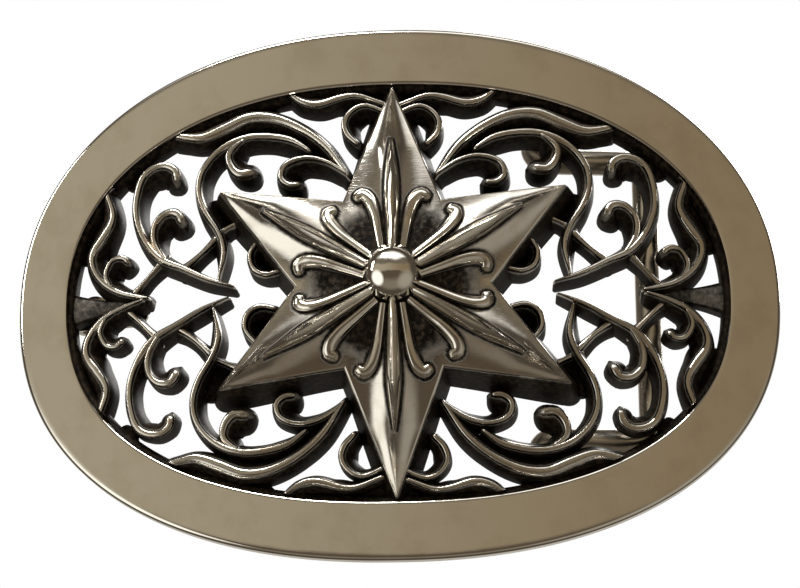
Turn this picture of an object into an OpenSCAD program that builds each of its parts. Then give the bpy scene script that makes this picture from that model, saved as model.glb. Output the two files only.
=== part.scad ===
// Oval openwork belt buckle: a curved polished rim, scrolls and a raised six-ray star
// in its opening, a hinged belt loop and a fixed hook on the back.
// Millimetres. X runs to the right seen from the front, Z is up, the front faces -Y.
// Depths are measured inwards from the rim's curved front, heights outwards from it.

/* [Oval] */
// Overall width
overall_w = 110; // [106:1:114]
// Overall height
overall_h = 76; // [74:1:80]
// Fullness of the outer oval, where 2 is an ellipse
outer_fullness = 2.2; // [2.1:0.05:2.3]
// Radius of the bend that follows the waist
bend_r = 130; // [125:1:140]

/* [Rim] */
// Width of the opening
opening_w = 95; // [94:0.5:96]
// Height of the opening
opening_h = 59.6; // [59:0.2:60]
// Fullness of the opening
opening_fullness = 2.28; // [2.2:0.02:2.36]
// Thickness of the rim
rim_t = 3.2; // [2.8:0.1:3.6]
// How far the front edge is set in
rim_step_w = 0.9; // [0.6:0.1:1.2]
// How deep that step is
rim_step_t = 0.6; // [0.4:0.1:0.8]

/* [Openwork] */
// Depth of the openwork's flat back
work_back = 5; // [4.6:0.1:5.2]
// Width of the ledge that carries the scrolls
ledge_w = 1; // [0.8:0.1:1.2]
// Depth where the ledge starts
ledge_front = 0.9; // [0.7:0.1:1.2]
// Height of the scrolls' crests
crest_h = 0.8; // [0.4:0.1:1]
// Depth of the scrolls' shoulders
shoulder_depth = 1.4; // [1.2:0.1:2]
// Width of a crest, as a share of its scroll
crest_share = 0.6; // [0.5:0.05:0.7]
// Width of the small tie rods
tie_w = 1; // [0.8:0.1:1.2]

/* [Star] */
// Reach of the four slanted rays
slant_reach = 27.9; // [27.5:0.1:28.2]
// Reach of the two upright rays
upright_reach = 29.2; // [29:0.1:29.4]
// Radius of the corners between rays
notch_r = 13.5; // [13:0.1:14]
// Height of the star's edge
edge_h = 4.1; // [3.8:0.1:4.4]
// Height of a ray's ridge
ridge_h = 7; // [6.6:0.1:7.2]
// Height of the middle
peak_h = 7.6; // [7.4:0.1:7.8]
// How far out along a ray its ridge starts to fall
ridge_end = 20; // [19:0.5:21]
// Thickness of the star's shell
star_wall = 1.5; // [1.3:0.1:1.7]
// Height of the ribs on the rays
rib_h = 0.8; // [0.6:0.1:1]

/* [Boss] */
// Radius of the round boss
boss_r = 3.9; // [3.7:0.1:4]
// Height of its top
boss_h = 9.9; // [9.6:0.1:10]

/* [Belt loop] */
// Distance of the hinge axis to the right of the middle
hinge_x = 20; // [19.8:0.1:20.2]
// Distance of the hinge axis behind the front of the rim
hinge_y = 9.2; // [9:0.1:9.6]
// Diameter of the wire
wire_d = 3.6; // [3.4:0.1:3.8]
// Clear height inside the loop, for a 35 mm belt
loop_clear_h = 37.2; // [37:0.1:37.4]
// Distance from the hinge axis to the fold bar
loop_reach = 16.3; // [16:0.1:16.6]
// Angle of the folded loop to the flat
loop_tilt = 10.6; // [10:0.2:12]
// Radius of the loop's corners
corner_r = 3; // [2.8:0.1:3.2]
// Radius of the spigots that turn in the lugs
spigot_r = 1.2; // [1.1:0.05:1.3]
// Radial clearance of the spigots
spigot_gap = 0.05; // [0.03:0.01:0.08]
// Height of each lug
lug_h = 3.2; // [3:0.1:3.4]
// Outer radius of each lug
lug_r = 2.3; // [2.2:0.1:2.4]

/* [Hook] */
// Distance of the post to the left of the middle
post_out = 44.5; // [43:0.5:46]
// Radius of the post
post_r = 1.9; // [1.8:0.05:2]
// Length of the post
post_l = 7; // [6:0.5:8]
// Lean of the post away from the middle
post_lean = 22; // [18:1:26]
// Length of the post's tapered root
root_l = 2.8; // [2.7:0.1:3.2]
// Width of the foot strap
foot_w = 4.6; // [4.2:0.1:5]
// Thickness of the foot strap
foot_t = 1.4; // [1.2:0.1:1.6]

/* [Hidden] */
$fn = 96;
// Longer than anything that is cut
far = 80;
// How far the boss's collar stands out, and the height where the collar ends on the star
collar_w = 0.5;
seat_h = 6.4;
// Middle of the loop's arms
arm_z = (loop_clear_h + wire_d) / 2;
// Radius of the bends that turn the wire's ends outwards
elbow_r = 2;
// Lowest point of the upper lug, clear of the wire's shoulder
lug_z = arm_z + elbow_r + 0.3;
// How far a spigot stands out of its lug
spigot_end = 0.3;
// Ends of the hook's foot strap, and the length of its heel
foot_outer = -53;
foot_inner = -36;
heel_l = 8;
// Radius of the root's cone where it starts, inside the strap
root_r = 2.5;
// Foot of the post on the strap's back
post_x = -post_out;
post_y = bend_r - sqrt(pow(bend_r - work_back - foot_t, 2) - post_x * post_x);
// Furthest point of the post's dome behind the front of the rim
hook_reach = post_y + (post_l - post_r) * cos(post_lean) + post_r;
// Each quadrant's name, its side in X and Z, and how far its scrolls sit from a true mirror image
QUADRANTS = [
    ["upper_right", 1, 1, [0, 0]],
    ["upper_left", -1, 1, [0.1, 0.2]],
    ["lower_right", 1, -1, [0.4, 0.1]],
    ["lower_left", -1, -1, [0.9, -0.3]]
];
SCROLLS = [
    "crown_leaf", "long_scroll", "notch_curl", "ray_curl", "rim_leaf",
    "hook_scroll", "end_leaf", "end_curl", "side_curl"
];

silver = [0.72, 0.69, 0.62];
dark_silver = [0.3, 0.28, 0.25];
bright_silver = [0.86, 0.85, 0.82];

// Depth of the curved front at a distance x from the middle
function sag(x) = bend_r - sqrt(bend_r * bend_r - x * x);

// Points of a full oval, whose fullness is 2 for an ellipse
function oval(w, h, fullness, steps = 96) = [
    for (i = [0:steps - 1])
        let (a = 360 * i / steps, c = cos(a), s = sin(a))
        [w / 2 * sign(c) * pow(abs(c), 2 / fullness), h / 2 * sign(s) * pow(abs(s), 2 / fullness)]
];

// A smooth line through a few points [x, z, half width]
function clamped(p, i) = p[max(0, min(len(p) - 1, i))];
function spline(a, b, c, d, t) =
    0.5 * (2 * b + (c - a) * t + (2 * a - 5 * b + 4 * c - d) * t * t + (3 * b - a - 3 * c + d) * t * t * t);
function smooth(p, steps = 4) = concat(
    [
        for (i = [0:len(p) - 2]) for (k = [0:steps - 1])
            spline(clamped(p, i - 1), p[i], p[i + 1], clamped(p, i + 2), k / steps)
    ],
    [p[len(p) - 1]]
);
function edge_of(line, side, share) = [
    for (i = [0:len(line) - 1])
        let (
            along = clamped(line, i + 1) - clamped(line, i - 1),
            across = [-along[1], along[0]] / norm([along[0], along[1]])
        )
        [line[i][0], line[i][1]] + side * share * line[i][2] * across
];
function backwards(list) = [for (i = [len(list) - 1:-1:0]) list[i]];
function ribbon(p, share = 1) =
    let (line = smooth(p)) concat(edge_of(line, 1, share), backwards(edge_of(line, -1, share)));

// The layer between two depths under the curved front; a height is a negative depth
module layer(front, back) {
    translate([0, bend_r, 0]) difference() {
        cylinder(r = bend_r - front, h = 100, center = true, $fn = 360);
        cylinder(r = bend_r - back, h = 110, center = true, $fn = 360);
    }
}

// A flat outline in X and Z, drawn through from front to back and cut to one layer
module slab(front, back) {
    intersection() {
        rotate([90, 0, 0]) linear_extrude(height = far, center = true) children();
        layer(front, back);
    }
}

module opening_outline(inset = 0) {
    polygon(oval(opening_w - 2 * inset, opening_h - 2 * inset, opening_fullness));
}

module outer_outline(inset = 0) {
    polygon(oval(overall_w - 2 * inset, overall_h - 2 * inset, outer_fullness));
}

// Polished frame: a wide oval ring with a stepped outer edge
module rim() {
    color(silver) {
        slab(rim_step_t, rim_t) difference() {
            outer_outline();
            opening_outline();
        }
        slab(0, rim_step_t) difference() {
            outer_outline(rim_step_w);
            opening_outline();
        }
    }
}

// Deep band inside the opening that carries every scroll
module gallery() {
    color(dark_silver) slab(ledge_front, work_back) difference() {
        opening_outline();
        opening_outline(ledge_w);
    }
}

// One scroll: a wide body with a narrower crest, trimmed where it meets the gallery
module scroll(lines) {
    color(dark_silver) {
        slab(shoulder_depth, work_back) intersection() {
            union() for (p = lines) polygon(ribbon(p));
            opening_outline(ledge_w);
        }
        slab(-crest_h, shoulder_depth) intersection() {
            union() for (p = lines) polygon(ribbon(p, crest_share));
            opening_outline(ledge_w);
        }
    }
}

// Centre lines of the scrolls in the upper right quadrant, each point [x, z, half width]
CROWN_LEAF = [[
    [6.2, 16.2, 0.8], [9.2, 20.4, 1.4], [12.6, 23.3, 1.5], [16.6, 25.2, 1.7],
    [20.4, 25.5, 1.9], [24.0, 24.3, 2.0], [27.4, 23.3, 1.7], [30.8, 23.7, 1.0]
]];
LONG_SCROLL = [
    [
        [24.8, 2.4, 0.5], [24.3, 6.2, 1.2], [25.0, 9.2, 1.4], [26.5, 11.8, 1.4], [27.5, 14.6, 1.3],
        [27.3, 17.4, 1.3], [25.8, 19.9, 1.3], [23.4, 21.7, 1.4], [20.4, 22.6, 1.4], [17.2, 22.5, 1.4],
        [14.2, 21.7, 1.3], [11.8, 20.2, 0.7]
    ],
    [[21.2, 22.2, 0.7], [23.2, 20.6, 1.1], [23.2, 18.6, 1.2], [21.8, 17.2, 1.2], [19.8, 17.4, 0.9]]
];
NOTCH_CURL = [[
    [6.4, 16.4, 0.8], [9.2, 18.2, 1.0], [12.2, 18.9, 1.1], [14.8, 18.0, 1.1], [15.6, 16.2, 1.0], [14.4, 14.8, 0.8]
]];
RAY_CURL = [[
    [1.8, 25.8, 0.7], [3.6, 26.6, 0.9], [5.6, 25.9, 1.0], [6.6, 24.1, 1.1], [6.0, 22.3, 1.0], [4.7, 20.9, 0.6]
]];
RIM_LEAF = [[
    [2.6, 27.2, 0.6], [4.8, 28.0, 0.8], [7.4, 27.8, 1.1], [10.2, 27.1, 1.3], [12.8, 27.5, 1.1], [14.8, 28.7, 0.7]
]];
HOOK_SCROLL = [
    [
        [22.7, 0.9, 0.5], [26.2, 2.2, 1.1], [30.0, 4.1, 1.3], [33.4, 6.0, 1.5], [35.7, 8.9, 1.4],
        [36.9, 12.4, 1.3], [36.7, 15.8, 1.4], [35.4, 18.7, 1.7], [32.8, 19.3, 1.1], [31.2, 18.2, 1.0],
        [31.4, 16.6, 0.6]
    ],
    [
        [32.6, 5.4, 1.0], [34.0, 8.0, 1.2], [34.0, 10.5, 1.2], [32.9, 12.0, 1.1], [31.4, 12.4, 1.1],
        [30.2, 11.5, 1.0], [30.4, 10.4, 0.7]
    ]
];
END_LEAF = [[
    [41.8, 17.0, 0.9], [40.7, 12.8, 1.3], [42.1, 9.6, 1.7], [43.4, 7.2, 1.4], [43.0, 4.8, 1.2],
    [41.4, 2.8, 1.2], [39.2, 1.4, 1.1], [36.8, 0.6, 0.8], [35.2, 0.2, 0.5]
]];
END_CURL = [[[40.7, 2.6, 0.7], [41.3, 4.3, 0.9], [40.4, 5.8, 0.9], [38.8, 5.9, 0.8]]];
SIDE_CURL = [[[19.0, 7.6, 0.9], [20.5, 5.6, 1.1], [20.2, 3.4, 1.2], [18.4, 2.3, 1.2], [16.4, 2.5, 1.1]]];

// Straight tie rods of one quadrant
TIES = [
    [[25.6, 7.8, tie_w / 2], [29.6, 4.6, tie_w / 2]],
    [[33.6, 5.0, tie_w / 2], [37.0, 1.6, tie_w / 2]],
    [[22.2, 10.2, tie_w / 2], [24.8, 9.0, tie_w / 2]]
];

// The points of a scroll drawn for the upper right, moved into the quadrant q
function moved(lines, q) = [
    for (p = lines) [for (v = p) [q[1] * (v[0] + q[3][0]), q[2] * (v[1] + q[3][1]), v[2]]]
];

module tie_rods() {
    color(dark_silver) for (q = QUADRANTS) for (tie = moved(TIES, q))
        slab(shoulder_depth, shoulder_depth + tie_w) polygon(ribbon(tie));
}

// Fan-shaped strut between the last scrolls and the gallery, at side +1 or -1
module end_fan(side) {
    color(dark_silver) slab(shoulder_depth, work_back) intersection() {
        polygon([for (v = [[37, 0.5], [41, 0.7], [47, 2.4], [47, -2.4], [41, -0.7], [37, -0.5]]) [side * v[0], v[1]]]);
        opening_outline(ledge_w);
    }
}

// Reach of ray k, counted anticlockwise from the upper right one
function ray_angle(k) = 30 + 60 * k;
function ray_reach(k) = k % 3 == 1 ? upright_reach : slant_reach;
function tip_h(k) = k % 3 == 1 ? 0.2 : edge_h;
function on_star(r, a, h) = [r * cos(a), sag(r * cos(a)) - h, r * sin(a)];

// The star as a closed faceted body: drop lowers its front, inset narrows it
module star_body(drop, inset, back) {
    tips = [for (k = [0:5]) on_star(ray_reach(k) - 2.4 * inset, ray_angle(k), tip_h(k) - drop)];
    notches = [for (k = [0:5]) on_star(notch_r - inset, ray_angle(k) + 30, edge_h - drop)];
    ridges = [
        for (k = [0:5]) on_star(ridge_end - inset, ray_angle(k), (k % 3 == 1 ? 0.72 : 1) * ridge_h - drop)
    ];
    back_tips = [for (k = [0:5]) on_star(ray_reach(k) - 2.4 * inset + 0.4, ray_angle(k), -back)];
    back_notches = [for (k = [0:5]) on_star(notch_r - inset + 1.6, ray_angle(k) + 30, -back)];
    middle = [[0, drop - peak_h, 0], [0, back, 0]];
    faces = [
        for (k = [0:5])
            let (t = k, n = 6 + k, m = 6 + (k + 5) % 6, r = 12 + k, bt = 18 + k, bn = 24 + k, bm = 24 + (k + 5) % 6)
            each [
                [t, r, n], [t, m, r], [r, 30, n], [r, m, 30],
                [t, n, bn], [t, bn, bt], [m, t, bt], [m, bt, bm],
                [bt, bn, 31], [bm, bt, 31]
            ]
    ];
    polyhedron(concat(tips, notches, ridges, back_tips, back_notches, middle), faces);
}

// Hollow raised star, open at the back
module star_shell() {
    color(silver) difference() {
        star_body(0, 0, work_back);
        star_body(star_wall, 1.6 * star_wall, work_back + 1);
    }
}

// Three ribs on each ray: a pointed leaf and a flared rib on each side of it
CENTRE_RIB = [[4.4, 0, 0.7], [8, 0, 1.1], [12, 0, 1.3], [16, 0, 0.9], [19, 0, 0.2]];
SIDE_RIB = [[4.4, 1.3, 0.5], [7.5, 2.0, 0.7], [10.2, 3.0, 0.8], [12.4, 4.1, 0.7], [13.2, 5.0, 0.4]];
function flipped(p) = [for (v = p) [v[0], -v[1], v[2]]];
module ray_ribs() {
    color(bright_silver) intersection() {
        for (k = [0:5]) rotate([0, -ray_angle(k), 0]) rotate([90, 0, 0]) linear_extrude(height = boss_h) {
            polygon(ribbon(CENTRE_RIB));
            polygon(ribbon(SIDE_RIB));
            polygon(ribbon(flipped(SIDE_RIB)));
        }
        difference() {
            star_body(-rib_h, 0, 0.5);
            star_body(0, 0, 1);
        }
    }
}

// Round boss on a short collar, seated on the middle of the star
module boss() {
    color(bright_silver) difference() {
        translate([0, boss_r - boss_h, 0]) {
            sphere(r = boss_r);
            rotate([-90, 0, 0]) cylinder(r = boss_r + collar_w, h = far / 2);
        }
        star_body(0, 0, work_back);
        translate([-far / 2, -seat_h, -far / 2]) cube(far);
    }
}

// Straight length of round bar along Z, from low to high
module bar(r, low, high) {
    translate([0, 0, low]) cylinder(r = r, h = high - low);
}

// Quarter bend of the wire in the X-Z plane about the origin, starting at angle a
module bend(radius, a) {
    rotate([90, 0, 0]) rotate([0, 0, a]) rotate_extrude(angle = 90) translate([radius, 0]) circle(r = wire_d / 2);
}

// Places the children, drawn with the hinge axis on Z, as the folded loop lies
module folded() {
    translate([hinge_x, hinge_y, 0]) rotate([0, 0, loop_tilt]) children();
}

// Belt loop: one bent wire with a fold bar, two arms, and ends that turn out into the lugs
module belt_loop() {
    color(silver) folded() {
        translate([loop_reach, 0, 0]) bar(wire_d / 2, corner_r - arm_z, arm_z - corner_r);
        for (side = [0, 1]) mirror([0, 0, side]) {
            translate([elbow_r, 0, arm_z]) rotate([0, 90, 0])
                cylinder(r = wire_d / 2, h = loop_reach - corner_r - elbow_r);
            translate([loop_reach - corner_r, 0, arm_z - corner_r]) bend(corner_r, 0);
            translate([elbow_r, 0, arm_z + elbow_r]) bend(elbow_r, 180);
            bar(spigot_r, arm_z + elbow_r, lug_z + lug_h + spigot_end);
        }
    }
}

// Lug soldered to the back of a crown leaf and bored for one spigot, at side +1 or -1
module lug(side) {
    color(silver) mirror([0, 0, side < 0 ? 1 : 0]) difference() {
        union() {
            translate([hinge_x, hinge_y, 0]) bar(lug_r, lug_z, lug_z + lug_h);
            intersection() {
                translate([hinge_x - lug_r, hinge_y - far / 2, lug_z]) cube([2 * lug_r, far / 2, lug_h]);
                behind(work_back);
            }
        }
        translate([hinge_x, hinge_y, 0]) bar(spigot_r + spigot_gap, lug_z - 1, lug_z + lug_h + 1);
    }
}

// Everything further back than a depth
module behind(depth) {
    translate([0, bend_r, 0]) cylinder(r = bend_r - depth, h = 100, center = true, $fn = 360);
}

// Foot strap of the hook, soldered across the gallery with a heel on the rim's back
module hook_foot() {
    color(silver) {
        slab(work_back, work_back + foot_t)
            translate([foot_outer, -foot_w / 2]) square([foot_inner - foot_outer, foot_w]);
        slab(rim_t, work_back) difference() {
            translate([foot_outer, -foot_w / 2]) square([heel_l, foot_w]);
            opening_outline();
        }
    }
}

// Round post of the hook with a tapered root and a domed tip, leaning away from the middle
module hook_post() {
    color(silver) intersection() {
        translate([post_x, post_y, 0]) rotate([0, 0, post_lean]) rotate([-90, 0, 0]) {
            translate([0, 0, -foot_t]) cylinder(r1 = root_r, r2 = post_r, h = root_l + foot_t);
            bar(post_r, root_l, post_l - post_r);
            translate([0, 0, post_l - post_r]) sphere(r = post_r);
        }
        behind(work_back + foot_t);
    }
}

// Moves the middle of the whole buckle to the origin
module centred() {
    translate([0, (boss_h - hook_reach) / 2, 0]) children();
}

centred() rim();
centred() gallery();
centred() star_shell();
centred() ray_ribs();
centred() boss();
centred() end_fan(-1);  // end_fan_left
centred() end_fan(1);  // end_fan_right
centred() tie_rods();
for (q = QUADRANTS) {
    centred() scroll(moved(CROWN_LEAF, q));
    centred() scroll(moved(LONG_SCROLL, q));
    centred() scroll(moved(NOTCH_CURL, q));
    centred() scroll(moved(RAY_CURL, q));
    centred() scroll(moved(RIM_LEAF, q));
    centred() scroll(moved(HOOK_SCROLL, q));
    centred() scroll(moved(END_LEAF, q));
    centred() scroll(moved(END_CURL, q));
    centred() scroll(moved(SIDE_CURL, q));
}
centred() belt_loop();
centred() lug(1);  // lug_upper
centred() lug(-1);  // lug_lower
centred() hook_foot();
centred() hook_post();
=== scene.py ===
"""Looks of an oval openwork belt buckle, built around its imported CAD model.

Lengths inside the shape functions are in millimetres, in the design frame of the part: X to the
right seen from the front, Z up, and a depth measured inwards from the rim's curved front.
place() turns them into metres in the CAD frame.
"""

import math

import bmesh
import bpy
from mathutils import Matrix, Vector


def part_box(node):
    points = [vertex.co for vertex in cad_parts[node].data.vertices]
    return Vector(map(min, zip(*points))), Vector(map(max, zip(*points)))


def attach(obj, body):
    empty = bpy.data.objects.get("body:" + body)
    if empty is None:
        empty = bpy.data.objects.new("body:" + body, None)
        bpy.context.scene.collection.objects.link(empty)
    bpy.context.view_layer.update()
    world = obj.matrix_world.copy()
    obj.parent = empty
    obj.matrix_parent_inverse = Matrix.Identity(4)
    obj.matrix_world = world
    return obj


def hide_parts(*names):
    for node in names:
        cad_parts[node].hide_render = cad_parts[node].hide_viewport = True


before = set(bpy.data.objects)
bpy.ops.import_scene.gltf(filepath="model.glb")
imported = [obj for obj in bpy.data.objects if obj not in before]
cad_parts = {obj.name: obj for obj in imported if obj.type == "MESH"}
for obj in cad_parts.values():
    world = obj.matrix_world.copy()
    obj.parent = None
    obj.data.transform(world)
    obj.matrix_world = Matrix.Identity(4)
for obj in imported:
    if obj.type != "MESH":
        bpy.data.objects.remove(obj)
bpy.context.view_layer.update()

MM = 0.001
# Vertices closer than this become one, in metres
SAME_POINT = 0.000001


def box_mm(node):
    """Lowest and highest corners of a node's box, in millimetres."""
    low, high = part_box(node)
    return [value / MM for value in low], [value / MM for value in high]


rim_low, rim_high = box_mm("rim")
gallery_low, gallery_high = box_mm("gallery")
boss_low, _ = box_mm("boss")
foot_low, foot_high = box_mm("hook_foot")
lug_low, lug_high = box_mm("lug_upper")

# The rim's front is bent to this radius about an upright line behind it
BEND_R = 130.0
# Depth of the openwork's back
WORK_BACK = 5.0
FRONT_Y = rim_low[1]
OUTER_W = rim_high[0] - rim_low[0]
OUTER_H = rim_high[2] - rim_low[2]
OPENING_W = gallery_high[0] - gallery_low[0]
OPENING_H = gallery_high[2] - gallery_low[2]
# How square the two ovals are: 2 is an ellipse
OUTER_FULLNESS = 2.2
OPENING_FULLNESS = 2.28


# ---------------- frame of the curved front

def curved_y(x, depth):
    """Distance behind the rim's front of the point at x and that depth under the curved front."""
    return BEND_R - math.sqrt((BEND_R - depth) ** 2 - x * x)


def place(x, z, depth):
    """The point at (x, z) and that depth under the curved front, in metres."""
    return straight(x, curved_y(x, depth), z)


def straight(x, y, z):
    """A point given by its distance y behind the front of the rim, in metres."""
    return (x * MM, (FRONT_Y + y) * MM, z * MM)


def oval(width, height, fullness, angle):
    """The point of a full oval at that angle."""
    c = math.cos(angle)
    s = math.sin(angle)
    x = width / 2 * math.copysign(abs(c) ** (2 / fullness), c)
    z = height / 2 * math.copysign(abs(s) ** (2 / fullness), s)
    return x, z


def opening_share(x, z, inset=0.0):
    """1 on the edge of the opening, less inside it."""
    a = OPENING_W / 2 - inset
    b = OPENING_H / 2 - inset
    total = (abs(x) / a) ** OPENING_FULLNESS + (abs(z) / b) ** OPENING_FULLNESS
    return total ** (1 / OPENING_FULLNESS)


def inside_opening(x, z, inset):
    """The point, drawn in to stay that far inside the opening's edge."""
    share = opening_share(x, z, inset)
    if share <= 1:
        return x, z
    return x / share, z / share


def smoothstep(low, high, value):
    """0 at low, 1 at high, and an eased rise between them."""
    t = min(1.0, max(0.0, (value - low) / (high - low)))
    return t * t * (3 - 2 * t)


def mixed(a, b, t):
    """a at t = 0 and b at t = 1."""
    return a + (b - a) * t


def round_angles(steps):
    """Angles of that many even steps around a circle."""
    return [2 * math.pi * i / steps for i in range(steps)]


# ---------------- meshes

def add_piece(name, builder, material, body="buckle", sharp=35.0):
    """A piece that stands in for the CAD node of its name, made from the builder's mesh.

    Edges that bend by more than sharp degrees stay crisp.
    """
    mesh = bpy.data.meshes.new(name)
    mesh.from_pydata(builder.verts, [], builder.faces)
    layer = mesh.attributes.new("polish", "FLOAT", "POINT")
    layer.data.foreach_set("value", builder.polish)
    joined = bmesh.new()
    joined.from_mesh(mesh)
    bmesh.ops.remove_doubles(joined, verts=joined.verts, dist=SAME_POINT)
    bmesh.ops.recalc_face_normals(joined, faces=joined.faces)
    joined.to_mesh(mesh)
    joined.free()
    for polygon in mesh.polygons:
        polygon.use_smooth = True
    mesh.set_sharp_from_angle(angle=math.radians(sharp))
    mesh.materials.append(MATERIALS[material])
    piece = bpy.data.objects.new(name, mesh)
    bpy.context.scene.collection.objects.link(piece)
    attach(piece, body)
    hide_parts(name)


class Builder:
    """Collects vertices, faces and the polish of each vertex, from 0 in a dull hollow to 1."""

    def __init__(self):
        self.verts = []
        self.faces = []
        self.polish = []

    def row(self, points, polish):
        """Adds vertices with one polish or one each, and returns their numbers."""
        first = len(self.verts)
        self.verts.extend(points)
        if isinstance(polish, (int, float)):
            polish = [polish] * len(points)
        self.polish.extend(polish)
        return list(range(first, first + len(points)))

    def loft(self, rows):
        """Quads between each closed row and the next."""
        for a, b in zip(rows, rows[1:]):
            for i in range(len(a)):
                j = (i + 1) % len(a)
                self.faces.append((a[i], a[j], b[j], b[i]))

    def cap(self, row, flip=False):
        """One face over a closed row."""
        self.faces.append(tuple(reversed(row)) if flip else tuple(row))

    def loft_and_cap(self, rows):
        """A closed solid between the first row and the last."""
        self.loft(rows)
        self.cap(rows[0])
        self.cap(rows[-1], flip=True)

    def fan(self, point, row, polish, flip=False):
        """Triangles from one new vertex to each side of a closed row."""
        middle = self.row([point], polish)[0]
        for i, a in enumerate(row):
            b = row[(i + 1) % len(row)]
            self.faces.append((middle, a, b) if flip else (middle, b, a))


# ---------------- materials

def new_material(name):
    """A material with its node tree and its shader node."""
    material = bpy.data.materials.new(name)
    material.use_nodes = True
    tree = material.node_tree
    shader = tree.nodes["Principled BSDF"]
    return material, tree, shader


def add_node(tree, kind, **values):
    """A new node with those settings."""
    node = tree.nodes.new(kind)
    for key, value in values.items():
        setattr(node, key, value)
    return node


def set_input(node, name, value):
    """Sets one input of a node to a constant."""
    node.inputs[name].default_value = value


def feed(tree, socket, value):
    """Sets an input to a number or a colour, or links it to another node's output."""
    if isinstance(value, tuple):
        socket.default_value = (*value, 1.0)
    elif isinstance(value, (int, float)):
        socket.default_value = value
    else:
        tree.links.new(value, socket)


def noise(tree, coords, scale, detail=3.0, roughness=0.5):
    """Smooth noise at that scale, in cells per metre."""
    node = add_node(tree, "ShaderNodeTexNoise")
    set_input(node, "Scale", scale)
    set_input(node, "Detail", detail)
    set_input(node, "Roughness", roughness)
    tree.links.new(coords, node.inputs["Vector"])
    return node.outputs["Fac"]


def map_range(tree, value, from_low, from_high, to_low, to_high):
    """The value eased from one range to another."""
    node = add_node(tree, "ShaderNodeMapRange", interpolation_type="SMOOTHSTEP")
    set_input(node, "From Min", from_low)
    set_input(node, "From Max", from_high)
    set_input(node, "To Min", to_low)
    set_input(node, "To Max", to_high)
    tree.links.new(value, node.inputs["Value"])
    return node.outputs["Result"]


def mix_colour(tree, factor, a, b):
    """Colour a where the factor is 0 and colour b where it is 1."""
    node = add_node(tree, "ShaderNodeMix", data_type="RGBA")
    tree.links.new(factor, node.inputs["Factor"])
    feed(tree, node.inputs[6], a)
    feed(tree, node.inputs[7], b)
    return node.outputs[2]


def mix_value(tree, factor, a, b):
    """Number a where the factor is 0 and number b where it is 1."""
    node = add_node(tree, "ShaderNodeMix", data_type="FLOAT")
    tree.links.new(factor, node.inputs["Factor"])
    feed(tree, node.inputs[2], a)
    feed(tree, node.inputs[3], b)
    return node.outputs[0]


def maths(tree, operation, a, b):
    """One sum, difference or product of two values."""
    node = add_node(tree, "ShaderNodeMath", operation=operation)
    feed(tree, node.inputs[0], a)
    feed(tree, node.inputs[1], b)
    return node.outputs[0]


def add_up(tree, first, *others):
    """The sum of several values."""
    total = first
    for value in others:
        total = maths(tree, "ADD", total, value)
    return total


def facing(tree, towards, direction, low, high):
    """1 where the direction of view lies near the given one."""
    node = add_node(tree, "ShaderNodeVectorMath", operation="DOT_PRODUCT")
    tree.links.new(towards, node.inputs[0])
    node.inputs[1].default_value = Vector(direction).normalized()
    return map_range(tree, node.outputs["Value"], low, high, 0.0, 1.0)


def stretched(tree, coords, factors):
    """The coordinates scaled along each axis."""
    node = add_node(tree, "ShaderNodeMapping")
    set_input(node, "Scale", factors)
    tree.links.new(coords, node.inputs["Vector"])
    return node.outputs["Vector"]


POLISHED = (0.86, 0.82, 0.745)
TARNISHED = (0.52, 0.44, 0.34)
OXIDE = (0.007, 0.0055, 0.0045)
BROWN_OXIDE = (0.034, 0.023, 0.014)


def silver(name, tone, roughness, tarnish, scratches, dents, dark=None):
    """Silver: clouds of tarnish, fine scratches, shallow dents and, in its hollows, dull oxide.

    dark is the range of polish over which oxide gives way to bare metal.
    """
    material, tree, shader = new_material(name)
    coords = add_node(tree, "ShaderNodeTexCoord").outputs["Object"]
    clouds = noise(tree, coords, 160.0, 4.0, 0.6)
    fine = noise(tree, coords, 1400.0, 3.0, 0.6)
    lines = noise(tree, stretched(tree, coords, (1.0, 1.0, 26.0)), 520.0, 2.0, 0.5)
    clean = tuple(c * tone for c in POLISHED)
    tint = mix_colour(tree, map_range(tree, clouds, 0.42, 0.72, 0.0, tarnish), clean, TARNISHED)
    rough = map_range(tree, clouds, 0.3, 0.75, roughness * 0.75, roughness * 1.5)
    if dark is None:
        set_input(shader, "Metallic", 1.0)
    else:
        attribute = add_node(tree, "ShaderNodeAttribute", attribute_name="polish")
        worn = add_up(
            tree, attribute.outputs["Fac"], maths(tree, "MULTIPLY", clouds, 0.5),
            maths(tree, "MULTIPLY", fine, 0.3)
        )
        bare = map_range(tree, worn, dark[0] + 0.4, dark[1] + 0.4, 0.0, 1.0)
        oxide = mix_colour(tree, map_range(tree, fine, 0.4, 0.7, 0.0, 1.0), OXIDE, BROWN_OXIDE)
        tint = mix_colour(tree, bare, oxide, tint)
        rough = mix_value(tree, bare, 0.5, rough)
        tree.links.new(map_range(tree, bare, 0.0, 0.7, 0.03, 1.0), shader.inputs["Metallic"])
        set_input(shader, "Specular IOR Level", 0.06)
    tree.links.new(tint, shader.inputs["Base Color"])
    tree.links.new(rough, shader.inputs["Roughness"])
    height = add_up(
        tree, maths(tree, "MULTIPLY", lines, scratches),
        maths(tree, "MULTIPLY", fine, scratches * 0.5),
        maths(tree, "MULTIPLY", noise(tree, coords, 95.0, 1.0), dents),
        maths(tree, "MULTIPLY", noise(tree, coords, 330.0, 1.0), dents * 0.3)
    )
    bump = add_node(tree, "ShaderNodeBump")
    set_input(bump, "Strength", 1.0)
    set_input(bump, "Distance", 0.00001)
    tree.links.new(height, bump.inputs["Height"])
    tree.links.new(bump.outputs["Normal"], shader.inputs["Normal"])
    return material


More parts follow.
